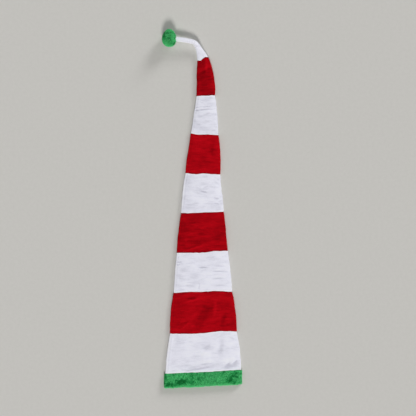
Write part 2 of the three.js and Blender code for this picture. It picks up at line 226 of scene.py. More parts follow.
# Fur
BRIM_FUR = 0.0078
POMPOM_FUR = 0.0090
STRAND = 0.00065  # thickness of a strand at its root
BEND_THICKNESS = 0.8  # at its bend, as a share
FUR_SHORTEST = 0.65  # the shortest strand, as a share of the longest
FUR_SUNK = 0.0006  # how deep strands are rooted in the cloth
FUR_FLOOR = 0.0003  # the lowest that a strand hangs
FUR_WANDER = 0.25  # how far strands stray from the way they are brushed
LOWER_LEAN = 0.35  # the share of their lean that they have below their bends
UPPER_RISE = 0.55  # how much they still rise beyond their bends
UPPER_WANDER = 1.3  # how much more they stray there
TUFT_EDGE = 0.0012  # how unevenly tufts meet
TUFT_PULL = (0.25, 0.65)  # how far strands are drawn together at their ends
BEND_PULL = 0.25  # the share of that at their bends
TUFT_TONE = 0.17  # how much tufts differ
STRAND_TONE = 0.08  # how much strands differ
# painted shade at the strands' roots, deep in the fur, and a painted highlight at their ends
PAINTED_ROOT_SHADE = -0.22
PAINTED_END_HIGHLIGHT = 0.16
PAINTED_FUR_CLOTH_SHADE = -0.2  # painted shade on the cloth that fur grows on, which its fur shades
UNDER_GROWTH = 0.15  # how thickly fur grows on the brim's underside, as a share
FACING_DOWN = -0.7  # a face whose normal is lower than this is on the underside

# How many strands and tufts a piece of fur has, and the seeds for their places and their shapes
Coat = namedtuple("Coat", "strands tufts place_seed shape_seed")
BRIM_UPPER_COAT = Coat(19000, 520, 720, 721)
BRIM_LOWER_COAT = Coat(11000, 260, 725, 726)
POMPOM_COAT = Coat(15000, 190, 910, 930)

# One row for each patch where fur lies darker or lighter: its middle as a share across (-1 to 1) and
# along (0 to 1 on the brim, -1 to 1 on the pompom), its slant in degrees, its length, its half breadth
# and its tone.
Patch = namedtuple("Patch", "across along slant length breadth tone")
BRIM_PATCHES = [Patch(*row) for row in [
    (-0.78, 0.30, 15, 0.075, 0.015, -0.34),
    (-0.55, 0.86, 15, 0.100, 0.009, 0.34),
    (-0.38, 0.48, 10, 0.080, 0.013, -0.28),
    (-0.14, 0.60, 80, 0.050, 0.011, -0.22),
    (0.02, 0.30, 60, 0.040, 0.014, 0.22),
    (0.27, 0.60, 80, 0.060, 0.034, 0.46),
    (0.62, 0.72, 40, 0.060, 0.007, 0.46),
    (0.72, 0.16, 40, 0.040, 0.006, 0.30),
    (0.79, 0.50, 35, 0.050, 0.012, -0.42),
    (0.97, 0.40, 70, 0.050, 0.008, 0.24),
]]
POMPOM_PATCHES = [Patch(*row) for row in [
    (-0.64, 0.52, 65, 0.024, 0.006, -0.50),
    (-0.76, -0.10, 65, 0.018, 0.006, -0.30),
    (1.00, -0.05, 80, 0.024, 0.005, -0.50),
    (0.20, -0.55, 20, 0.022, 0.007, -0.25),
    (-0.10, 0.52, 40, 0.014, 0.005, -0.30),
]]

# Uneven cloth and fur: how much each kind does, the size of its cells and its random seed. Bands add
# their number to the seed.
Layer = namedtuple("Layer", "amount cell seed")
SEAM_RIPPLES = Layer(0.0007, 0.011, 60)
WIDE_WAVES = Layer(0.0011, 0.050, 200)
SMALL_WAVES = Layer(0.0004, 0.018, 300)
STREAKS = Layer(0.00014, 0.0033, 350)  # fine lines that run across the pile
STREAK_PACE = 0.18  # how slowly those change across the hat, against along it
WIDE_TONES = Layer(0.04, 0.030, 370)
SMALL_TONES = Layer(0.02, 0.012, 380)
PILE_LUMPS = Layer(0.00016, 0.0042, 400)
GATHERS = Layer(0.0005, 0.009, 500)
SIDE_WAVES = Layer(0.0007, 0.028, 600)
SIDE_RIPPLES = Layer(0.0005, 0.009, 650)
BRIM_LUMPS = Layer(0.0010, 0.016, 700)
BRIM_BRUSHING = Layer(0.9, 0.022, 740)  # radians
BRIM_WARP_ACROSS = Layer(0.012, 0.027, 750)
BRIM_WARP_ALONG = Layer(0.012, 0.027, 755)
BRIM_BLOTCHES = Layer(0.125, 0.024, 760)
BRIM_STROKES = Layer(0.32, 0.0058, 765)
BRIM_LOCKS = Layer(0.45, 0.007, 770)
WRINKLE_DRIFT = Layer(1.2, 0.02, 800)  # radians
TIP_LUMPS = Layer(0.0005, 0.012, 810)
TIP_LUMP_PACE = 2  # how fast those change across the tip, against along it
TIP_PILE = Layer(0.0002, 0.004, 820)
POMPOM_LUMPS = Layer(0.04, 0.7, 900)
POMPOM_LUMP_PACE = 3
POMPOM_BLOTCHES = Layer(0.24, 0.008, 947)
LATTICE = 64  # cells of a noise lattice before it repeats

# Painted light and shade on the pile, standing in for how light falls: a painted highlight (above 0) or
# painted shade (below 0) beside a seam, how far that reaches and how suddenly it ends; painted highlights
# on the rims at the left and right; tone in the fine lines; painted shade in a crease's valley and
# painted highlight on its ridge, for each metre of its height; and the darkest and lightest that a crease
# makes it
Tones = namedtuple("Tones", "seam reach power left right lines crease darkest lightest")
WHITE_TONES = Tones(0.30, 0.0040, 2, 0.26, 0.06, 0.050, 140, -0.40, 0.10)
RED_TONES = Tones(-0.22, 0.0025, 1, 0.05, 0.05, 0.085, 95, -0.15, 0.27)
TIP_TONES = Tones(0.12, 0.0040, 2, 0.14, 0.14, 0.000, 70, -0.20, 0.10)
RIM = 0.006  # breadth of the rim along each side that gets a painted highlight

# How finely the meshes are cut: rows along the hat, and columns round it (underside, side and top)
COLUMN_STEP = 0.0016  # over the top of a band
FEWEST_COLUMNS = 40
SIDE_COLUMNS = 14
ROLLED_LENGTH = 0.004  # cut more finely at each end of a band
ROLLED_ROWS = 7
BODY_ROWS = 100
INNER_ROWS = 56
BRIM_COLUMNS = (60, 12, 120)
BRIM_ROWS = 26
BRIM_FOLD_STEPS = 10
TIP_COLUMNS = (20, 12, 28)
TIP_ROWS = 120
TIP_INNER_ROWS = 36
POMPOM_ROWS = 40
POMPOM_COLUMNS = 72

# Plush
NAP_TONE = 0.6  # how much the lie of its pile changes its tone
PILE_TONE = 0.4  # how much its hairs do
RAMP = (0.2, 0.5, 0.8)  # the tones at which it is dark, has its own colour and is light

# Photograph, and the camera that looks straight down as it does
IMAGE = 416  # pixels each way
PIXEL = 0.003671  # width of one pixel at the cloth's level
EDGE_PIXEL = np.array([203.2, 386.5])  # at the middle of the open edge
CLOTH_LEVEL = 0.010
CAMERA_HEIGHT = 8.0
SENSOR = 36.0  # millimetres

# One row for each lamp: the way to it from the hat, its strength, its breadth in degrees and its colour
Sun = namedtuple("Sun", "name towards strength spread colour")
SUNS = [Sun(*row) for row in [
    ("key", (0.2, -4.5, 5.0), 1.85, 17, (1.0, 0.99, 0.975)),
    ("fill", (6.2, 8.0, 4.0), 1.66, 20, (0.98, 0.99, 1.0)),
    ("side", (-6.0, 0.5, 4.5), 0.26, 35, (1.0, 1.0, 1.0)),
]]
HORIZON = (0.50, 0.50, 0.49)
OVERHEAD = (0.140, 0.140, 0.143)
OVERHEAD_FROM = 0.45  # how high that begins, as a share

# Floor
FLOOR_HALF = 60.0
FLOOR_DARK = (0.60, 0.59, 0.56)
FLOOR_LIGHT = (0.67, 0.66, 0.63)


def blend_values(low, high, share):
    return low + (high - low) * share


def ease(share):
    return share * share * (3 - 2 * share)


def unit_rows(vectors):
    return vectors / np.linalg.norm(vectors, axis=1, keepdims=True)


def through_rows(rows, place):
    """A smooth curve through a table's rows; place counts rows from 0."""
    rows = np.asarray(rows, dtype=float)
    last = len(rows) - 1
    first = np.clip(np.floor(place).astype(int), 0, last - 1)
    share = (place - first)[..., None]
    before = rows[np.maximum(first - 1, 0)]
    start = rows[first]
    end = rows[first + 1]
    after = rows[np.minimum(first + 2, last)]
    return 0.5 * (
        2 * start
        + (end - before) * share
        + (2 * before - 5 * start + 4 * end - after) * share ** 2
        + (3 * start - before - 3 * end + after) * share ** 3
    )


def noise(x, y, cell, seed):
    """Smooth noise from -1 to 1, with one random height for each cell of a lattice."""
    heights = np.random.default_rng(seed).uniform(-1, 1, (LATTICE, LATTICE))
    column = np.floor(x / cell).astype(int)
    row = np.floor(y / cell).astype(int)
    u = ease(x / cell - column)
    v = ease(y / cell - row)
    left = column % LATTICE
    right = (column + 1) % LATTICE
    near = row % LATTICE
    far = (row + 1) % LATTICE
    near_height = blend_values(heights[left, near], heights[right, near], u)
    far_height = blend_values(heights[left, far], heights[right, far], u)
    return blend_values(near_height, far_height, v)


def uneven(layer, x, y, band=0):
    """What one kind of unevenness does at places x and y; each band has its own."""
    return layer.amount * noise(x, y, layer.cell, layer.seed + band)


def slanted(mark, dx, dy):
    """Places along and beside a crease or patch, from places measured from its middle: 1 is its half
    length or half breadth."""
    slant = math.radians(mark.slant)
    run = (dx * math.cos(slant) + dy * math.sin(slant)) / (mark.length / 2)
    beside = (dy * math.cos(slant) - dx * math.sin(slant)) / mark.breadth
    return run, beside


# Rings of a flattened tube
Columns = namedtuple("Columns", "straight out_x out_z rise")


def ring_columns(under, side, over, power=1.0):
    """Columns round a flattened tube: its underside, right side, crowned top and left side. A power below
    1 makes the sides fuller than round."""
    share = np.linspace(-1, 1, under, endpoint=False)
    underside = (share, 0 * share, 0 * share - 1, 0 * share)
    angle = np.linspace(-0.5, 0.5, side, endpoint=False) * math.pi
    out_x = np.abs(np.cos(angle)) ** power
    out_z = np.sign(angle) * np.abs(np.sin(angle)) ** power
    right = (0 * angle + 1, out_x, out_z, 0 * angle)
    left = (0 * angle - 1, -out_x, -out_z, 0 * angle)
    share = np.linspace(1, -1, over, endpoint=False)
    top = (share, 0 * share, 0 * share + 1, 1 - np.abs(share) ** CROWN_POWER)
    return Columns(*(np.concatenate(values)[None, :] for values in zip(underside, right, top, left)))


def ring_points(columns, half, radius, floor, crown):
    """Place across, height, and share from underside (0) to top (1) of each point of some rings."""
    across = columns.straight * (half - radius) + columns.out_x * radius
    up = floor + radius * (1 + columns.out_z) + columns.rise * (crown - floor - 2 * radius)
    return across, up, (1 + columns.out_z) / 2 + 0 * across


def stand(middle, turn, across, along, up):
    """Points of rings that stand upright at their middles, turned by degrees."""
    cos = np.cos(np.radians(turn))
    sin = np.sin(np.radians(turn))
    x = OPEN_EDGE[0] + middle[0] + cos * across - sin * along
    y = OPEN_EDGE[1] + middle[1] + sin * across + cos * along
    return np.stack([x, y, up + 0 * x], axis=-1)


# Meshes from arrays. A ring is named by the number of its first point, and flip turns faces round.
def join_faces(start_ring, end_ring, columns, flip):
    """Quads between two rings."""
    column = np.arange(columns)
    after = (column + 1) % columns
    corners = [start_ring + column, end_ring + column, end_ring + after, start_ring + after]
    quads = np.stack(corners, axis=-1)
    return quads[:, ::-1] if flip else quads


def grid_faces(first_ring, rows, columns, flip):
    """Quads between rings that follow each other."""
    rings = first_ring + columns * np.arange(rows)
    pairs = zip(rings[:-1], rings[1:])
    return np.concatenate([join_faces(start, end, columns, flip) for start, end in pairs])


def wall_faces(outer_rows, inner_rows, columns):
    """Faces of a tube's outer wall, inner wall and cut at its start, and the last ring of each wall."""
    inner_first = outer_rows * columns
    faces = [
        grid_faces(0, outer_rows, columns, False),
        grid_faces(inner_first, inner_rows, columns, True),
        join_faces(0, inner_first, columns, True),
    ]
    return faces, inner_first - columns, inner_first + (inner_rows - 1) * columns


def cap_faces(ring, hub, columns, flip):
    """Triangles from a ring to the point at its middle."""
    column = np.arange(columns)
    after = (column + 1) % columns
    triangles = np.stack([ring + column, ring + after, 0 * column + hub], axis=-1)
    return triangles[:, ::-1] if flip else triangles


def mesh_object(name, points, face_blocks, material, shade=None):
    """A smooth mesh from an array of points and arrays of faces; shade is each point's tone with painted
    light and shade.
    """
    corners = np.concatenate([block.ravel() for block in face_blocks]).astype(np.int32)
    sizes = np.concatenate([np.full(len(block), block.shape[1]) for block in face_blocks])
    starts = np.concatenate([[0], np.cumsum(sizes)[:-1]]).astype(np.int32)
    mesh = bpy.data.meshes.new(name)
    mesh.vertices.add(len(points))
    mesh.vertices.foreach_set("co", points.astype(np.float32).ravel())
    mesh.loops.add(len(corners))
    mesh.loops.foreach_set("vertex_index", corners)
    mesh.polygons.add(len(sizes))
    mesh.polygons.foreach_set("loop_start", starts)
    mesh.polygons.foreach_set("use_smooth", np.full(len(sizes), True))
    if shade is not None:
        attribute = mesh.attributes.new("shade", "FLOAT", "POINT")
        attribute.data.foreach_set("value", shade.astype(np.float32).ravel())
    mesh.update(calc_edges=True)
    mesh.validate()
    mesh.materials.append(material)
    piece = bpy.data.objects.new(name, mesh)
    bpy.context.collection.objects.link(piece)
    return piece


# Materials
def add_node(tree, kind, inputs=None, **settings):
    node = tree.nodes.new(kind)
    for key, value in settings.items():
        setattr(node, key, value)
    for key, value in (inputs or {}).items():
        node.inputs[key].default_value = value
    return node


def scaled_sum(tree, value, scale, base):
    """The output of a node that adds a scaled value to a base."""
    node = add_node(tree, "ShaderNodeMath", {1: scale}, operation="MULTIPLY_ADD")
    tree.links.new(value, node.inputs[0])
    tree.links.new(base, node.inputs[2])
    return node.outputs[0]


def colour_ramp(tree, value, places, colours):
    """The output of a ramp of colours, each at its place."""
    ramp = add_node(tree, "ShaderNodeValToRGB")
    elements = ramp.color_ramp.elements
    elements.remove(elements[1])
    elements[0].position = places[0]
    for place in places[1:]:
        elements.new(place)
    for element, colour in zip(elements, colours):
        element.color = (*colour, 1)
    tree.links.new(value, ramp.inputs["Fac"])
    return ramp.outputs["Color"]


def cloth_material(name, dark, base, light, sheen, sheen_tint, pile_scale=620.0, pile_depth=0.0006):
    """Plush: mottled by the lie of its pile, with the painted shade and painted highlights of its shade
    attribute (in folds, at fur roots, on rims and seams), and a soft sheen.
    """
    material = bpy.data.materials.new(name)
    material.use_nodes = True
    tree = material.node_tree
    tree.nodes.clear()
    link = tree.links.new
    place = add_node(tree, "ShaderNodeTexCoord")
    stretch = add_node(tree, "ShaderNodeMapping", {"Scale": (0.45, 1.0, 1.0)})
    nap = add_node(tree, "ShaderNodeTexNoise", {"Scale": 46.0, "Detail": 4.0, "Roughness": 0.6})
    pile = add_node(tree, "ShaderNodeTexNoise", {"Scale": pile_scale, "Detail": 3.0, "Roughness": 0.7})
    # the shade attribute: tone with painted light and shade
    fold = add_node(tree, "ShaderNodeAttribute", attribute_name="shade")
    link(place.outputs["Object"], stretch.inputs["Vector"])
    link(stretch.outputs["Vector"], nap.inputs["Vector"])
    link(place.outputs["Object"], pile.inputs["Vector"])
    napped = scaled_sum(tree, nap.outputs["Fac"], NAP_TONE, fold.outputs["Fac"])
    mixed = scaled_sum(tree, pile.outputs["Fac"], PILE_TONE, napped)
    colour = colour_ramp(tree, mixed, RAMP, (dark, base, light))
    bump = add_node(tree, "ShaderNodeBump", {"Strength": 0.6, "Distance": pile_depth})
    link(pile.outputs["Fac"], bump.inputs["Height"])
    shader = add_node(tree, "ShaderNodeBsdfPrincipled", {
        "Roughness": 0.92,
        "Specular IOR Level": 0.03,
        "Sheen Weight": sheen,
        "Sheen Roughness": 0.45,
        "Sheen Tint": (*sheen_tint, 1),
    })
    link(colour, shader.inputs["Base Color"])
    link(bump.outputs["Normal"], shader.inputs["Normal"])
    output = add_node(tree, "ShaderNodeOutputMaterial")
    link(shader.outputs["BSDF"], output.inputs["Surface"])
    return material


WHITE = cloth_material(
    "white_plush",
    dark=(0.65, 0.65, 0.74),
    base=(0.868, 0.870, 0.968),
    light=(0.94, 0.943, 0.99),
    sheen=0.10,
    sheen_tint=(1.0, 1.0, 1.0),
)
RED = cloth_material(
    "red_plush",
    dark=(0.21, 0.0004, 0.003),
    base=(0.412, 0.0012, 0.0057),
    light=(0.60, 0.003, 0.010),
    sheen=0.05,
    sheen_tint=(1.0, 0.05, 0.08),
)
GREEN = cloth_material(
    "green_plush",
    dark=(0.010, 0.25, 0.055),
    base=(0.042, 0.60, 0.165),
    light=(0.16, 0.86, 0.34),
    sheen=0.06,
    sheen_tint=(0.5, 1.0, 0.65),
    pile_scale=420.0,
    pile_depth=0.0008,
)


# Bands are of two kinds, which differ in colour, in how their cloth turns down into a seam, in their
# painted light and shade and fine lines, and in the share of their small creases that are valleys.
Stripe = namedtuple("Stripe", "colour material roll tones valleys")
WHITE_STRIPE = Stripe("white", WHITE, WHITE_ROLL, WHITE_TONES, 1.0)
RED_STRIPE = Stripe("red", RED, RED_ROLL, RED_TONES, 0.4)


def stripe_of(band):
    return WHITE_STRIPE if band % 2 == 1 else RED_STRIPE


def seam_wave(seam, side):
    """How far a seam runs ahead of a straight line, at sides from -1 to 1."""
    rows = np.array([0.0, seam.left, seam.middle, seam.right, 0.0])[:, None]
    curve = through_rows(rows, np.clip(side * 2 + 2, 0, 4))[..., 0]
    return curve + uneven(SEAM_RIPPLES, side * seam.width / 2, 0 * side + seam.y)


def seam_shift(band, share, side):
    """How far a band's cloth runs ahead of a straight line, as its seams do."""
    start = seam_wave(SEAMS[band], side) * (1 - share) ** 3
    end = seam_wave(SEAMS[band + 1], side) * share ** 3
    return start + end


def hat_line(band, share):
    """Middle and turn of the flattened hat at a share of the way along one band."""
    curve = through_rows([(seam.x, seam.turn) for seam in SEAMS], band + share[:, 0])
    y = blend_values(SEAMS[band].y, SEAMS[band + 1].y, share)
    return (curve[:, :1], y), curve[:, 1:]


def minor_creases(band, width):
    """Small creases that lie mostly across the hat, more of them on the wide bands."""
    draw = np.random.default_rng(MINOR_SEED + band)
    count = int(MINOR_COUNT + MINOR_COUNT_PER_METRE * width)
    longest = MINOR_LONGEST + MINOR_LONGEST_PER_METRE * width
    valley_share = stripe_of(band).valleys
    return [
        Crease(
            band,
            across=draw.uniform(-0.95, 0.95),
            along=draw.uniform(0.05, 0.95),
            slant=draw.normal(0, MINOR_SLANT),
            length=draw.uniform(MINOR_SHORTEST, longest),
            depth=draw.uniform(*MINOR_DEPTHS) * (1 if draw.uniform() < valley_share else -1),
            breadth=draw.uniform(*MINOR_BREADTHS),
        )
        for _ in range(count)
    ]


def crease_height(creases, half, length, across, along):
    """Height of creases: each a valley with a lower ridge on its far side."""
    height = np.zeros(np.broadcast_shapes(across.shape, along.shape))
    for crease in creases:
        run, beside = slanted(crease, across - crease.across * half, along - crease.along * length)
        lip = LIP_HEIGHT * np.exp(-((beside - LIP_PLACE) / LIP_BREADTH) ** 2)
        height += crease.depth * (lip - np.exp(-beside ** 2)) * np.exp(-run ** 4)
    return height


def roll_depth(roll, to_seam):
    """How far cloth has turned down at a distance from its seam."""
    into_roll = np.clip(1 - to_seam / roll.length, 0, 1)
    return roll.depth * (1 - np.sqrt(1 - into_roll ** 2))


def painted_light_and_shade(tones, folds, across, half, to_seam):
    """Painted shade in creases and painted highlight on their ridges, painted highlights on the rims at
    the sides, and a painted highlight or painted shade at a seam.
    """
    # painted shade in crease valleys, painted highlight on their ridges
    crease_shade = np.clip(tones.crease * folds, tones.darkest, tones.lightest)
    rim = np.clip((np.abs(across) - half + RIM) / RIM, 0, 1)
    # painted highlight on the rims at the sides
    rims = np.where(across < 0, tones.left, tones.right) * rim
    # painted highlight (white and tip) or painted shade (red) beside a seam
    return crease_shade + rims + tones.seam * np.exp(-(to_seam / tones.reach) ** tones.power)


def band_relief(band, half, length, across, along, to_seam):
    """Height of a band's creases, waves, ridge and pile, and its shade: the pile's tone with painted
    light and shade.
    """
    free = 1 - np.exp(-to_seam / SEAM_HOLD)
    mean_width = (SEAMS[band].width + SEAMS[band + 1].width) / 2
    creases = [crease for crease in CREASES if crease.band == band] + minor_creases(band, mean_width)
    folds = free * crease_height(creases, half, length, across, along)
    waves = uneven(WIDE_WAVES, across, along, band) + uneven(SMALL_WAVES, across, along, band)
    streaks = uneven(STREAKS, across * STREAK_PACE, along, band)
    pile = uneven(PILE_LUMPS, across, along, band)
    gathers = uneven(GATHERS, across, 0 * along + band, band) * np.exp(-to_seam / GATHER_REACH)
    ridge = RIDGE_HEIGHT * np.exp(-((across + half - RIDGE_INSET) / RIDGE_BREADTH) ** 2)
    height = folds + free * waves + streaks + pile + gathers + ridge
    tones = stripe_of(band).tones
    lines = tones.lines * streaks / STREAKS.amount
    patches = uneven(WIDE_TONES, across, along, band) + uneven(SMALL_TONES, across, along, band)
    # tone of the band, its fine lines and patches, with painted shade in creases and painted highlights
    # on rims and seams
    shade = BANDS[band - 1].tone + lines + patches + painted_light_and_shade(tones, folds, across, half, to_seam)
    return height, shade


def band_rings(band, shares, columns, inset):
    """Rings of one band and their shade; inset is 0 outside and the cloth's thickness inside."""
    share = shares[:, None]
    length = SEAMS[band + 1].y - SEAMS[band].y
    middle, turn = hat_line(band, share)
    to_seam = np.minimum(share, 1 - share) * length
    roll = roll_depth(stripe_of(band).roll, to_seam)
    width = blend_values(SEAMS[band].width, SEAMS[band + 1].width, share)
    half = width / 2 - inset - roll / 2
    swell = blend_values(SEAM_RISE, 1, np.sin(math.pi * share))
    rise = np.minimum(CROWN_RISE, CROWN_SLOPE * width) * swell
    crown = 2 * FOLD_RADIUS + rise - inset - roll
    across, up, upper = ring_points(columns, half, FOLD_RADIUS - inset, inset, crown)
    bulge = np.where(across > 0, BANDS[band - 1].right, BANDS[band - 1].left)
    across = across * (1 + 4 * share * (1 - share) * bulge / half)
    side = np.clip(across / half, -1, 1)
    along = share * length + 0 * across
    height, shade = band_relief(band, width / 2, length, across, along, to_seam)
    sign = np.sign(across)
    edge = uneven(SIDE_WAVES, along, sign, band) + uneven(SIDE_RIPPLES, along, sign, band)
    across = across + sign * edge * side ** 6 * (1 - np.exp(-to_seam / SEAM_HOLD))
    points = stand(middle, turn, across, seam_shift(band, share, side), up + upper * height)
    return points, upper * shade


def make_band(band):
    """One striped band: a flattened tube of plush with creases, and rolled edges at its seams."""
    length = SEAMS[band + 1].y - SEAMS[band].y
    start_width = SEAMS[band].width
    end_width = SEAMS[band + 1].width
    over = int(max(FEWEST_COLUMNS, (start_width + end_width) / 2 / COLUMN_STEP))
    columns = ring_columns(over // 4, SIDE_COLUMNS, over, FOLD_POWER)
    count = columns.straight.size
    margin = SEAM_GAP / 2 / length
    rolled = np.linspace(0, ROLLED_LENGTH, ROLLED_ROWS, endpoint=False) / length
    body = np.linspace(ROLLED_LENGTH, length - ROLLED_LENGTH, BODY_ROWS) / length
    outer_shares = np.clip(np.concatenate([rolled, body, 1 - rolled[::-1]]), margin, 1 - margin)
    inner_shares = np.linspace(margin, 1 - margin, INNER_ROWS)
    outer, outer_shade = band_rings(band, outer_shares, columns, 0.0)
    inner, inner_shade = band_rings(band, inner_shares, columns, CLOTH)
    faces, outer_last, inner_last = wall_faces(len(outer_shares), INNER_ROWS, count)
    faces.append(join_faces(outer_last, inner_last, count, False))
    points = np.concatenate([outer.reshape(-1, 3), inner.reshape(-1, 3)])
    shade = np.concatenate([outer_shade.ravel(), inner_shade.ravel()])
    stripe = stripe_of(band)
    node = f"stripe_{band}_{stripe.colour}"
    piece = mesh_object(f"{node}_cloth", points, faces, stripe.material, shade)
    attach(piece, "root")
    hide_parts(node)


# Fur
def nearest_tuft(roots, count, draw):
    """The number of the tuft that each strand belongs to: tufts grow round strands picked at random."""
    centres = roots[draw.choice(len(roots), count, replace=False)]
    tree = KDTree(count)
    for number, centre in enumerate(centres):
        tree.insert(centre, number)
    tree.balance()
    return np.array([tree.find(root)[1] for root in roots])


def strand_points(roots, bends, ends, ways, draw):
    """Seven points for each strand: three round its root, three round its bend, and its end."""
    spread = unit_rows(np.cross(ways, draw.normal(0, 1, ways.shape)))
    other = np.cross(ways, spread)
    points = []
    for middles, thickness in ((roots, STRAND), (bends, BEND_THICKNESS * STRAND)):
        for turn in (0, 120, 240):
            angle = math.radians(turn)
            out = math.cos(angle) * spread + math.sin(angle) * other
            points.append(middles + thickness / 2 * out)
    points.append(ends)
    points = np.stack(points, axis=1)
    points[..., 2] = np.maximum(points[..., 2], FUR_FLOOR)
    return points.reshape(-1, 3)


def strand_faces(count):
    """Quads from root to bend, and triangles from bend to end and under the root, of each strand."""
    first = 7 * np.arange(count)[:, None]
    quads = [first + np.array([i, (i + 1) % 3, 3 + (i + 1) % 3, 3 + i]) for i in range(3)]
    triangles = [first + np.array([3 + i, 3 + (i + 1) % 3, 6]) for i in range(3)]
    triangles.append(first + np.array([2, 1, 0]))
    return [np.concatenate(quads), np.concatenate(triangles)]


def make_fur(name, roots, normals, lean, length, coat, tone):
    """Strands of fur with three sides and one bend, drawn together in tufts at their ends."""
    draw = np.random.default_rng(coat.shape_seed)
    count = len(roots)
    roots = roots - FUR_SUNK * normals
    half_length = np.reshape(length, (-1, 1)) * draw.uniform(FUR_SHORTEST, 1.0, (count, 1)) / 2
    wander = draw.normal(0, FUR_WANDER, (count, 3))
    first_way = unit_rows(normals + LOWER_LEAN * lean + wander)
    second_way = unit_rows(UPPER_RISE * normals + lean + UPPER_WANDER * wander)
    bends = roots + first_way * half_length
    ends = bends + second_way * half_length
    tuft = nearest_tuft(roots + draw.normal(0, TUFT_EDGE, (count, 3)), coat.tufts, draw)
    members = np.bincount(tuft, minlength=coat.tufts)
    sums = [np.bincount(tuft, ends[:, axis], coat.tufts) for axis in range(3)]
    middles = (np.array(sums) / members).T[tuft]
    pull = draw.uniform(*TUFT_PULL, (coat.tufts, 1))[tuft]
    ends = blend_values(ends, middles, pull)
    bends = blend_values(bends, middles - second_way * half_length, BEND_PULL * pull)
    tone = tone + draw.normal(0, TUFT_TONE, coat.tufts)[tuft] + draw.normal(0, STRAND_TONE, count)
    # painted shade round each root, where the fur shades itself, and a painted highlight at each end
    shade = tone[:, None] + np.array([PAINTED_ROOT_SHADE] * 3 + [0.0] * 3 + [PAINTED_END_HIGHLIGHT])
    points = strand_points(roots, bends, ends, second_way, draw)
    return mesh_object(name, points, strand_faces(count), GREEN, shade)


def patch_tone(patches, across, along, half, height):
    """Tone of patches in fur, at shares across and along of a piece with this half width and height."""
    tone = np.zeros_like(across)
    for patch in patches:
        run, beside = slanted(patch, (across - patch.across) * half, (along - patch.along) * height)
        tone += patch.tone * np.exp(-run ** 2 - beside ** 2)
    return tone


def face_normals(points, quads):
    corners = points[quads]
    return unit_rows(np.cross(corners[:, 2] - corners[:, 0], corners[:, 3] - corners[:, 1]))


def scatter(points, quads, normals, coat, weight):
    """Random places on quads of a surface with their normals; weight is how thickly each quad grows."""
    draw = np.random.default_rng(coat.place_seed)
    corners = points[quads]
    first_side = corners[:, 1] - corners[:, 0]
    last_side = corners[:, 3] - corners[:, 0]
    chance = np.linalg.norm(np.cross(first_side, last_side), axis=1) * weight
    chosen = draw.choice(len(quads), coat.strands, p=chance / chance.sum())
    u = draw.uniform(0, 1, (coat.strands, 1))
    v = draw.uniform(0, 1, (coat.strands, 1))
    picked = corners[chosen]
    near = blend_values(picked[:, 0], picked[:, 1], u)
    far = blend_values(picked[:, 3], picked[:, 2], u)
    return blend_values(near, far, v), normals[chosen]


# Brim
def brim_profile():
    """Rows of the folded strip seen end on: down its outside to the open edge, round the fold and up
    inside the hat, and then back within the cloth. Gives their places along the hat, their depths from
    the outside, their rises at the crown, and how many are outside."""
    straight = np.linspace(BRIM_END, BRIM_START + BRIM_FOLD, BRIM_ROWS)
    bend = np.radians(np.linspace(-90, 90, BRIM_FOLD_STEPS + 1))[1:-1]
    share = (straight - BRIM_START) / (BRIM_END - BRIM_START)
    tucked = np.clip((straight - BRIM_END + BRIM_TUCK_REACH) / BRIM_TUCK_REACH, 0, 1) ** 2
    raised = BRIM_PUFF * np.sin(math.pi * share) - BRIM_TUCK * tucked
    along = []
    depth = []
    lift = []
    for radius, way in ((BRIM_FOLD, 1), (BRIM_CLOTH - BRIM_FOLD, -1)):
        down = BRIM_FOLD - radius + 0 * straight
        up = BRIM_FOLD + radius + 0 * straight
        along += [straight, BRIM_START + BRIM_FOLD - way * radius * np.cos(bend), straight[::-1]]
        depth += [down, BRIM_FOLD + radius * np.sin(bend), up]
        puffs = (1, BRIM_INNER_PUFF)[::way]
        lift += [puffs[0] * raised, 0 * bend, puffs[1] * raised[::-1]]
    outside_rows = len(straight) + len(bend)
    return np.concatenate(along), np.concatenate(depth), np.concatenate(lift), outside_rows


def brim_strip():
    """Points and faces of the folded strip, and the faces that fur grows on."""
    along, depth, lift, outside_rows = brim_profile()
    columns = ring_columns(*BRIM_COLUMNS)
    count = columns.straight.size
    share = (along / SEAMS[1].y)[:, None]
    inset = depth[:, None]
    middle, turn = hat_line(0, share)
    half = BRIM_HALF - inset
    radius = BRIM_RADIUS - BRIM_INNER_RADIUS * inset
    floor = BRIM_LIFT + BRIM_INNER_LIFT * inset
    across, up, upper = ring_points(columns, half, radius, floor, BRIM_CROWN - inset + lift[:, None])
    up = up + upper * uneven(BRIM_LUMPS, across, along[:, None])
    points = stand(middle, turn, across, seam_shift(0, share, across / half), up).reshape(-1, 3)
    rows = len(along)
    strip = grid_faces(0, rows, count, True)
    closing = join_faces((rows - 1) * count, 0, count, True)
    return points, [strip, closing], strip[: (outside_rows + 2) * count]


def brim_lean(roots):
    """The way that the brim's fur is brushed: towards the open edge, turning from patch to patch."""
    turn = uneven(BRIM_BRUSHING, roots[:, 0], roots[:, 1])
    return np.stack([np.sin(turn), -np.cos(turn), 0 * turn - BRIM_DROOP], axis=1)


def brim_place(roots):
    """Places across and along the brim, measured from the middle of its open edge."""
    turn = math.radians(SEAMS[0].turn)
    x = roots[:, 0] - OPEN_EDGE[0]
    y = roots[:, 1] - OPEN_EDGE[1]
    return x * math.cos(turn) + y * math.sin(turn), y * math.cos(turn) - x * math.sin(turn)


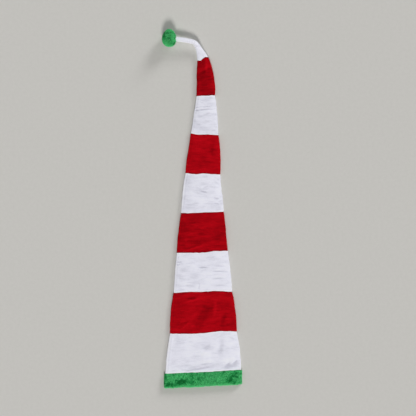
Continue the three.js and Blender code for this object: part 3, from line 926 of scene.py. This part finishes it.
def brim_tone(across, along):
    """Lighter and darker fur: its main patches, soft blotches, and strokes that slant up to the right."""
    warped_x = across + uneven(BRIM_WARP_ACROSS, across, along)
    warped_y = along + uneven(BRIM_WARP_ALONG, across, along)
    stroke_run = (warped_x + warped_y) * math.sqrt(0.5)
    stroke_side = (warped_y - warped_x) * math.sqrt(0.5)
    blotches = uneven(BRIM_BLOTCHES, warped_x, warped_y)
    strokes = uneven(BRIM_STROKES, stroke_run * STROKE_PACE, stroke_side)
    patches = patch_tone(BRIM_PATCHES, across / BRIM_HALF, along / BRIM_END, BRIM_HALF, BRIM_END)
    return blotches + strokes + patches


def brim_fur(name, points, quads, normals, weight, coat):
    """Fur on part of the brim, longer along its open edge and with a painted highlight there."""
    roots, ways = scatter(points, quads, normals, coat, weight)
    across, along = brim_place(roots)
    at_edge = np.exp(-(np.maximum(along - BRIM_START, 0) / BRIM_EDGE) ** 2)
    # a painted highlight along the open edge
    tone = BRIM_TONE + brim_tone(across, along) + PAINTED_BRIM_EDGE_HIGHLIGHT * at_edge
    lengths = BRIM_FUR * (1 + at_edge * (BRIM_EDGE_LENGTH + uneven(BRIM_LOCKS, across, along)))
    return make_fur(name, roots, ways, brim_lean(roots), lengths, coat, tone)


def make_brim():
    """The brim: a strip of fur plush, folded double at the open edge, and its fur in two pieces."""
    points, faces, furred = brim_strip()
    # painted shade on the backing under the fur
    shade = np.full(len(points), PAINTED_FUR_CLOTH_SHADE)
    backing = mesh_object("brim_cloth", points, faces, GREEN, shade)
    normals = face_normals(points, furred)
    on_top = points[furred].mean(axis=1)[:, 2] > BRIM_RADIUS
    facing_down = normals[:, 2] < FACING_DOWN
    below = np.where(on_top, 0.0, np.where(facing_down, UNDER_GROWTH, 1.0))
    upper_fur = brim_fur("brim_fur_upper", points, furred, normals, 1.0 * on_top, BRIM_UPPER_COAT)
    lower_fur = brim_fur("brim_fur_lower", points, furred, normals, below, BRIM_LOWER_COAT)
    for piece in (backing, upper_fur, lower_fur):
        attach(piece, "root")
    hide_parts("brim")


# Tip
def tip_relief(across, half, from_seam):
    """Height of the wrinkles inside the tip's bend, and of its soft lumps."""
    free = 1 - np.exp(-from_seam / TIP_HOLD)
    bend = np.exp(-((from_seam - TIP_BEND) / TIP_BEND_REACH) ** 2)
    inner_side = np.clip(0.5 - across / (2 * half), 0, 1)
    wave = np.sin(from_seam / WRINKLE_PITCH + uneven(WRINKLE_DRIFT, across, from_seam))
    wrinkles = free * bend * inner_side * WRINKLE_HEIGHT * wave
    lumps = uneven(TIP_LUMPS, across * TIP_LUMP_PACE, from_seam) + uneven(TIP_PILE, across, from_seam)
    return wrinkles, free * lumps


def tip_rings(places, columns, inset):
    """Rings of the tip and their shade; places count the rows of its table, and inset is 0 outside, where
    the cloth is wrinkled, and the cloth's thickness inside."""
    table = through_rows(TIP_SECTIONS, places)
    x, y, lift, turn, width, height, radius = (table[:, i:i + 1] for i in range(7))
    steps = np.linalg.norm(np.diff(table[:, :2], axis=0), axis=1)
    from_seam = TIP_SEAM_GAP + np.concatenate([[0.0], np.cumsum(steps)])[:, None]
    roll = roll_depth(WHITE_ROLL, from_seam)
    half = width / 2 - inset - roll / 2
    across, up, upper = ring_points(columns, half, radius - inset, inset, height - inset - roll)
    shade = np.zeros_like(across)
    if inset == 0:
        wrinkles, lumps = tip_relief(across, half, from_seam)
        up = up + upper * (wrinkles + lumps)
        across = across * (1 + (WRINKLE_BREADTH * wrinkles + lumps) / half)
        # painted shade in the wrinkles, painted highlights on the rims and at the seam
        shade = painted_light_and_shade(TIP_TONES, wrinkles, across, half, from_seam)
    along = seam_wave(SEAMS[-1], across / half) * np.clip(1 - places[:, None], 0, 1) ** 3
    return stand((x, y), turn, across, along, lift + up), shade


def make_tip():
    """The bent tip: a narrowing tube of white plush that rises into the pompom."""
    columns = ring_columns(*TIP_COLUMNS)
    count = columns.straight.size
    last = len(TIP_SECTIONS) - 1
    rolled = np.linspace(TIP_GAP, TIP_ROLLED, ROLLED_ROWS, endpoint=False)
    outer_places = np.concatenate([rolled, np.linspace(TIP_ROLLED, last, TIP_ROWS)])
    inner_places = np.linspace(TIP_GAP, last - TIP_CLOSED, TIP_INNER_ROWS)
    outer, outer_shade = tip_rings(outer_places, columns, 0)
    inner, inner_shade = tip_rings(inner_places, columns, CLOTH)
    faces, outer_last, inner_last = wall_faces(len(outer_places), TIP_INNER_ROWS, count)
    hubs = np.stack([outer[-1].mean(axis=0), inner[-1].mean(axis=0)])
    first_hub = inner_last + count
    faces.append(cap_faces(outer_last, first_hub, count, True))
    faces.append(cap_faces(inner_last, first_hub + 1, count, False))
    points = np.concatenate([outer.reshape(-1, 3), inner.reshape(-1, 3), hubs])
    shade = np.concatenate([outer_shade.ravel(), inner_shade.ravel(), [0.0, 0.0]])
    piece = mesh_object("tip_white_cloth", points, faces, WHITE, shade)
    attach(piece, "root")
    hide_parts("tip_white")


# Pompom
def pompom_head(centre):
    """Points of the soft head, the quads round it and the triangles at its two ends. It is a lumpy egg, a
    little flat where it rests."""
    polar = np.linspace(0, math.pi, POMPOM_ROWS + 2)[1:-1, None]
    turn = np.linspace(0, 2 * math.pi, POMPOM_COLUMNS, endpoint=False)[None, :]
    x = np.cos(polar) + 0 * turn
    y = np.sin(polar) * np.cos(turn)
    z = np.sin(polar) * np.sin(turn)
    lumps = 1 + uneven(POMPOM_LUMPS, y * POMPOM_LUMP_PACE + x, z * POMPOM_LUMP_PACE - x)
    rings = np.stack([x, y, z], axis=-1) * lumps[..., None]
    poles = np.array([[1, 0, 0], [-1, 0, 0]])
    points = centre + np.concatenate([rings.reshape(-1, 3), poles]) * POMPOM_RADII
    taper = 1 - POMPOM_TAPER * (points[:, 1] - centre[1]) / POMPOM_RADII[1]
    points[:, 0] = centre[0] + (points[:, 0] - centre[0]) * taper
    points[:, 2] = np.maximum(points[:, 2], POMPOM_REST)
    first_pole = POMPOM_ROWS * POMPOM_COLUMNS
    last_ring = first_pole - POMPOM_COLUMNS
    body = grid_faces(0, POMPOM_ROWS, POMPOM_COLUMNS, False)
    ends = [
        cap_faces(0, first_pole, POMPOM_COLUMNS, False),
        cap_faces(last_ring, first_pole + 1, POMPOM_COLUMNS, True),
    ]
    return points, body, ends


def from_tip(places, centre):
    """How far places on the pompom's right half are from the middle of the tip that goes in there. Places
    on its left half count as a metre away."""
    end = TIP_SECTIONS[-1]
    beside = places[:, 1] - OPEN_EDGE[1] - end.y
    over = places[:, 2] - end.lift - end.height / 2
    return np.where(places[:, 0] > centre[0], np.hypot(beside, over), 1.0)


def pompom_fur(points, quads, centre):
    """Fur all over the head except where the tip goes in, which pushes the fur round it outwards."""
    under_tip = from_tip(points[quads].mean(axis=1), centre) < TIP_SECTIONS[-1].width / 2
    weight = np.where(under_tip, 0.0, 1.0)
    roots, ways = scatter(points, quads, face_normals(points, quads), POMPOM_COAT, weight)
    lean = POMPOM_LEAN * np.random.default_rng(POMPOM_LEAN_SEED).normal(0, 1, (len(roots), 3))
    lean[:, 0] += TIP_PUSH * np.exp(-(from_tip(roots, centre) / TIP_PUSH_REACH) ** 4)
    across, along, _ = ((roots - centre) / POMPOM_RADII).T
    patches = patch_tone(POMPOM_PATCHES, across, along, POMPOM_RADII[0], POMPOM_RADII[1])
    tone = POMPOM_TONE + uneven(POMPOM_BLOTCHES, roots[:, 0], roots[:, 1]) + patches
    return make_fur("pompom_fur", roots, ways, lean, POMPOM_FUR, POMPOM_COAT, tone)


def make_pompom():
    """The pompom: a soft head covered in fur."""
    centre = np.append(OPEN_EDGE, 0) + POMPOM_CENTRE
    points, body, ends = pompom_head(centre)
    # painted shade on the head under the fur
    shade = np.full(len(points), PAINTED_FUR_CLOTH_SHADE)
    head = mesh_object("pompom_head", points, [body, *ends], GREEN, shade)
    fur = pompom_fur(points, body, centre)
    for piece in (head, fur):
        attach(piece, "root")
    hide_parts("pompom")


# Floor, light and camera
def floor_material():
    """Plain pale grey with a faint grain."""
    material = bpy.data.materials.new("pale_floor")
    material.use_nodes = True
    tree = material.node_tree
    shader = tree.nodes["Principled BSDF"]
    shader.inputs["Roughness"].default_value = 0.9
    shader.inputs["Specular IOR Level"].default_value = 0.1
    place = add_node(tree, "ShaderNodeTexCoord")
    grain = add_node(tree, "ShaderNodeTexNoise", {"Scale": 90.0, "Detail": 4.0, "Roughness": 0.7})
    tree.links.new(place.outputs["Object"], grain.inputs["Vector"])
    colour = colour_ramp(tree, grain.outputs["Fac"], (0.0, 1.0), (FLOOR_DARK, FLOOR_LIGHT))
    tree.links.new(colour, shader.inputs["Base Color"])
    return material


def make_floor():
    corners = FLOOR_HALF * np.array([[-1, -1, 0], [1, -1, 0], [1, 1, 0], [-1, 1, 0]])
    floor = mesh_object("floor", corners, [np.array([[0, 1, 2, 3]])], floor_material())


def make_sun(sun):
    """Even light from a far, wide source."""
    light = bpy.data.lights.new(sun.name, "SUN")
    light.energy = sun.strength
    light.angle = math.radians(sun.spread)
    light.color = sun.colour
    lamp = bpy.data.objects.new(sun.name, light)
    bpy.context.collection.objects.link(lamp)
    lamp.location = sun.towards
    lamp.rotation_euler = (-Vector(sun.towards)).to_track_quat("-Z", "Y").to_euler()


def make_world():
    """Soft light from all round, brighter near the horizon than overhead."""
    world = bpy.data.worlds.new("studio")
    world.use_nodes = True
    tree = world.node_tree
    place = add_node(tree, "ShaderNodeTexCoord")
    split = add_node(tree, "ShaderNodeSeparateXYZ")
    tree.links.new(place.outputs["Generated"], split.inputs["Vector"])
    colour = colour_ramp(tree, split.outputs["Z"], (0.0, OVERHEAD_FROM), (HORIZON, OVERHEAD))
    tree.links.new(colour, tree.nodes["Background"].inputs["Color"])
    bpy.context.scene.world = world


def make_light():
    bpy.context.scene.view_settings.view_transform = "Standard"
    make_world()
    for sun in SUNS:
        make_sun(sun)


def make_camera():
    """Straight above, placed and zoomed so that the hat fills the same pixels as in the photograph."""
    camera_data = bpy.data.cameras.new("camera")
    camera_data.sensor_width = SENSOR
    camera_data.lens = SENSOR * (CAMERA_HEIGHT - CLOTH_LEVEL) / (IMAGE * PIXEL)
    camera = bpy.data.objects.new("camera", camera_data)
    bpy.context.collection.objects.link(camera)
    from_edge = (np.array([IMAGE / 2, IMAGE / 2]) - EDGE_PIXEL) * PIXEL
    camera.location = (OPEN_EDGE[0] + from_edge[0], OPEN_EDGE[1] - from_edge[1], CAMERA_HEIGHT)
    camera.rotation_euler = (0, 0, 0)
    bpy.context.scene.camera = camera


make_camera()
make_floor()
make_light()
make_brim()
for band_number in range(1, len(BANDS) + 1):
    make_band(band_number)
make_pompom()
make_tip()
